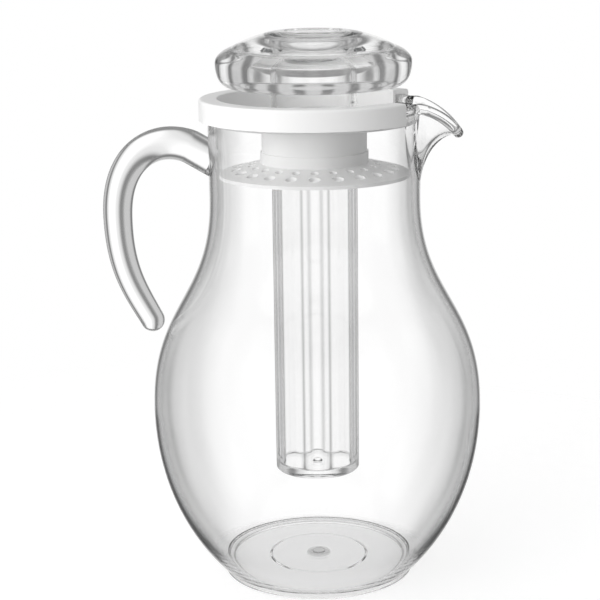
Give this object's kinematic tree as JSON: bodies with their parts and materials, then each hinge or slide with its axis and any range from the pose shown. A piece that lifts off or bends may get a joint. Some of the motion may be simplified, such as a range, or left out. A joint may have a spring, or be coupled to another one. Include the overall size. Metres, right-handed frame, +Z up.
{
  "type": "pitcher with ice core",
  "caption": "Clear bulbous pitcher with a pouring spout and open-ended handle; white drop-on lid carries a strainer, a fluted ice tube and a clear knob.",
  "frame": {"origin": "centre of the foot ring, on the surface that the pitcher stands on, on the jug's axis", "axes": "+Z up along the jug's axis, +X towards the spout, handle on -X"},
  "size_m": [0.1705, 0.15, 0.2496],
  "materials": {
    "clear_plastic": "clear, polished",
    "white_plastic": "satin white",
    "seal_rubber": "translucent silicone"
  },
  "bodies": {
    "jug": {"jug_body": "clear_plastic", "handle": "clear_plastic"},
    "lid": {"lid": "white_plastic"},
    "strainer": {"strainer": "white_plastic"},
    "seal_ring": {"tube_seal_ring": "seal_rubber"},
    "ice_tube": {"ice_tube": "clear_plastic"},
    "knob": {"knob": "clear_plastic", "knob_o_ring": "seal_rubber"}
  },
  "joints": [
    {"name": "lid_lift", "type": "slide", "parent": "jug", "child": "lid", "axis": [0, 0, 1], "range_m": [0, 0.175]},
    {"name": "strainer_release", "type": "slide", "parent": "lid", "child": "strainer", "axis": [0, 0, -1], "range_m": [0, 0.03]},
    {"name": "tube_drop", "type": "slide", "parent": "lid", "child": "seal_ring", "axis": [0, 0, -1], "range_m": [0, 0.006]},
    {"name": "tube_screw", "type": "hinge", "parent": "seal_ring", "child": "ice_tube", "pos_m": [0, 0, 0.2], "axis": [0, 0, -1], "range_deg": [0, 540]},
    {"name": "knob_pull", "type": "slide", "parent": "lid", "child": "knob", "axis": [0, 0, 1], "range_m": [0, 0.03]}
  ],
  "couplings": [
    {"joint": "tube_drop", "follows": "tube_screw", "m_per_rad": 0.00063661}
  ]
}
